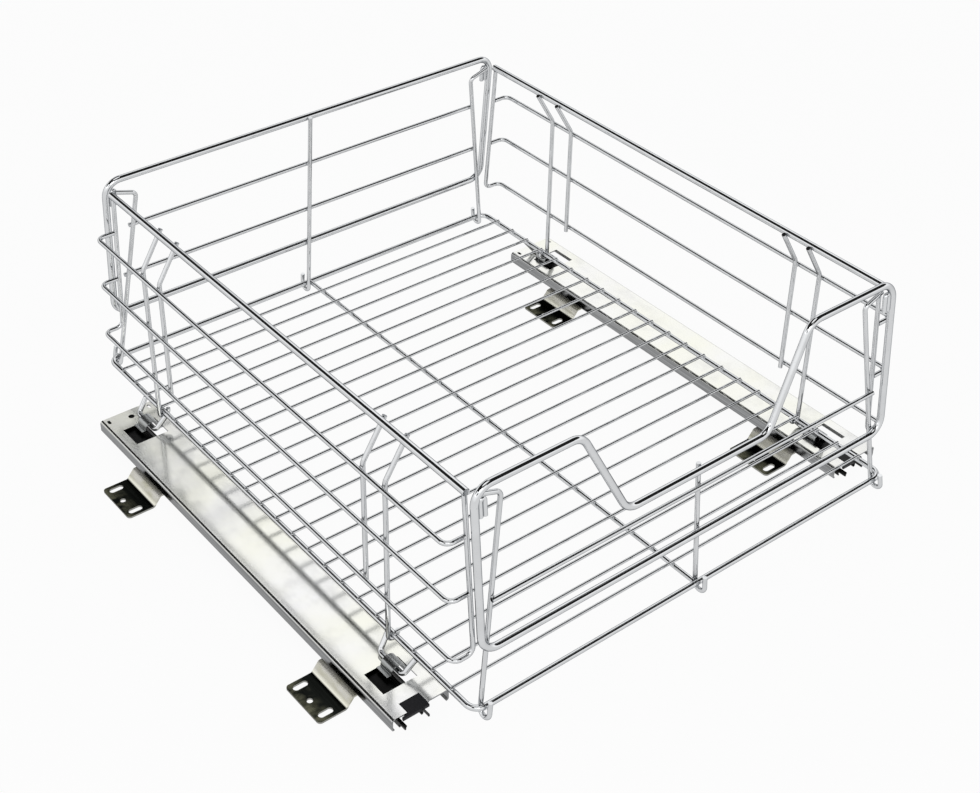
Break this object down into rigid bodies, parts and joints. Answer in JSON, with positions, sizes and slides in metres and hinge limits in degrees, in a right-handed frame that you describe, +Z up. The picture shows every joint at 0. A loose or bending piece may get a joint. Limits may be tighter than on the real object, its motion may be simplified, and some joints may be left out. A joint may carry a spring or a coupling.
{
  "type": "pull out cabinet basket",
  "caption": "Chromed wire basket with a dipped front and open wire sides, carried on two ball-bearing runners with four slotted mounting brackets; it slides forwards.",
  "frame": {"origin": "centre of the part's box in plan, on the plane that the four bracket feet stand on", "axes": "+X to the right seen from the front, +Y to the back of the cabinet, +Z up; the basket pulls out along -Y"},
  "size_m": [0.503, 0.5054, 0.2106],
  "materials": {
    "chrome_wire": "bright chrome-plated steel wire",
    "chrome_rim": "bright chrome-plated steel rod",
    "white_zinc": "bright zinc-plated sheet, nearly white",
    "slide_zinc": "dark rolled steel with a film of grease",
    "dark_zinc": "smooth reflective zinc-plated steel with a faint olive tint",
    "rivet_steel": "plain steel rivet",
    "clip_steel": "grey plated spring sheet",
    "bumper_plastic": "black moulded plastic",
    "cage_plastic": "dark ball cage",
    "ball_steel": "polished bearing ball"
  },
  "bodies": {
    "mounting_frame": {"left_front_bracket": "dark_zinc", "left_rear_bracket": "dark_zinc", "right_front_bracket": "dark_zinc", "right_rear_bracket": "dark_zinc", "bracket_rivets": "rivet_steel", "left_fixed_member": "slide_zinc", "right_fixed_member": "slide_zinc"},
    "basket": {"left_slide_profile": "slide_zinc", "right_slide_profile": "slide_zinc", "left_carrier": "white_zinc", "right_carrier": "white_zinc", "left_bumper": "bumper_plastic", "right_bumper": "bumper_plastic", "left_clips": "clip_steel", "right_clips": "clip_steel", "left_foot_wires": "chrome_wire", "right_foot_wires": "chrome_wire", "base_rim": "chrome_rim", "base_cross_wires": "chrome_wire", "base_centre_wire": "chrome_wire", "left_side_rim": "chrome_rim", "left_side_frame": "chrome_wire", "left_side_bars": "chrome_wire", "left_long_uprights": "chrome_wire", "left_short_uprights": "chrome_wire", "right_side_rim": "chrome_rim", "right_side_frame": "chrome_wire", "right_side_bars": "chrome_wire", "right_long_uprights": "chrome_wire", "right_short_uprights": "chrome_wire", "front_loop": "chrome_rim", "front_thin_wire": "chrome_wire", "front_centre_upright": "chrome_wire", "front_corner_wires": "chrome_wire", "front_latch_loops": "chrome_rim", "back_loop": "chrome_rim", "back_thin_wires": "chrome_wire", "back_centre_upright": "chrome_wire", "back_corner_wires": "chrome_wire", "back_latch_loops": "chrome_rim"},
    "left_middle": {"left_middle_member": "slide_zinc"},
    "left_inner_cages": {"left_inner_cage": "cage_plastic", "left_inner_balls": "ball_steel"},
    "left_outer_cages": {"left_outer_cage": "cage_plastic", "left_outer_balls": "ball_steel"},
    "right_middle": {"right_middle_member": "slide_zinc"},
    "right_inner_cages": {"right_inner_cage": "cage_plastic", "right_inner_balls": "ball_steel"},
    "right_outer_cages": {"right_outer_cage": "cage_plastic", "right_outer_balls": "ball_steel"}
  },
  "joints": [
    {"name": "basket_slide", "type": "slide", "parent": "mounting_frame", "child": "basket", "axis": [0, -1, 0], "range_m": [0, 0.4]},
    {"name": "left_middle_slide", "type": "slide", "parent": "mounting_frame", "child": "left_middle", "axis": [0, -1, 0], "range_m": [0, 0.2]},
    {"name": "left_inner_cage_slide", "type": "slide", "parent": "mounting_frame", "child": "left_inner_cages", "axis": [0, -1, 0], "range_m": [0, 0.1]},
    {"name": "left_outer_cage_slide", "type": "slide", "parent": "mounting_frame", "child": "left_outer_cages", "axis": [0, -1, 0], "range_m": [0, 0.3]},
    {"name": "right_middle_slide", "type": "slide", "parent": "mounting_frame", "child": "right_middle", "axis": [0, -1, 0], "range_m": [0, 0.2]},
    {"name": "right_inner_cage_slide", "type": "slide", "parent": "mounting_frame", "child": "right_inner_cages", "axis": [0, -1, 0], "range_m": [0, 0.1]},
    {"name": "right_outer_cage_slide", "type": "slide", "parent": "mounting_frame", "child": "right_outer_cages", "axis": [0, -1, 0], "range_m": [0, 0.3]}
  ],
  "couplings": [
    {"joint": "left_middle_slide", "follows": "basket_slide", "ratio": 0.5},
    {"joint": "left_inner_cage_slide", "follows": "basket_slide", "ratio": 0.25},
    {"joint": "left_outer_cage_slide", "follows": "basket_slide", "ratio": 0.75},
    {"joint": "right_middle_slide", "follows": "basket_slide", "ratio": 0.5},
    {"joint": "right_inner_cage_slide", "follows": "basket_slide", "ratio": 0.25},
    {"joint": "right_outer_cage_slide", "follows": "basket_slide", "ratio": 0.75}
  ]
}
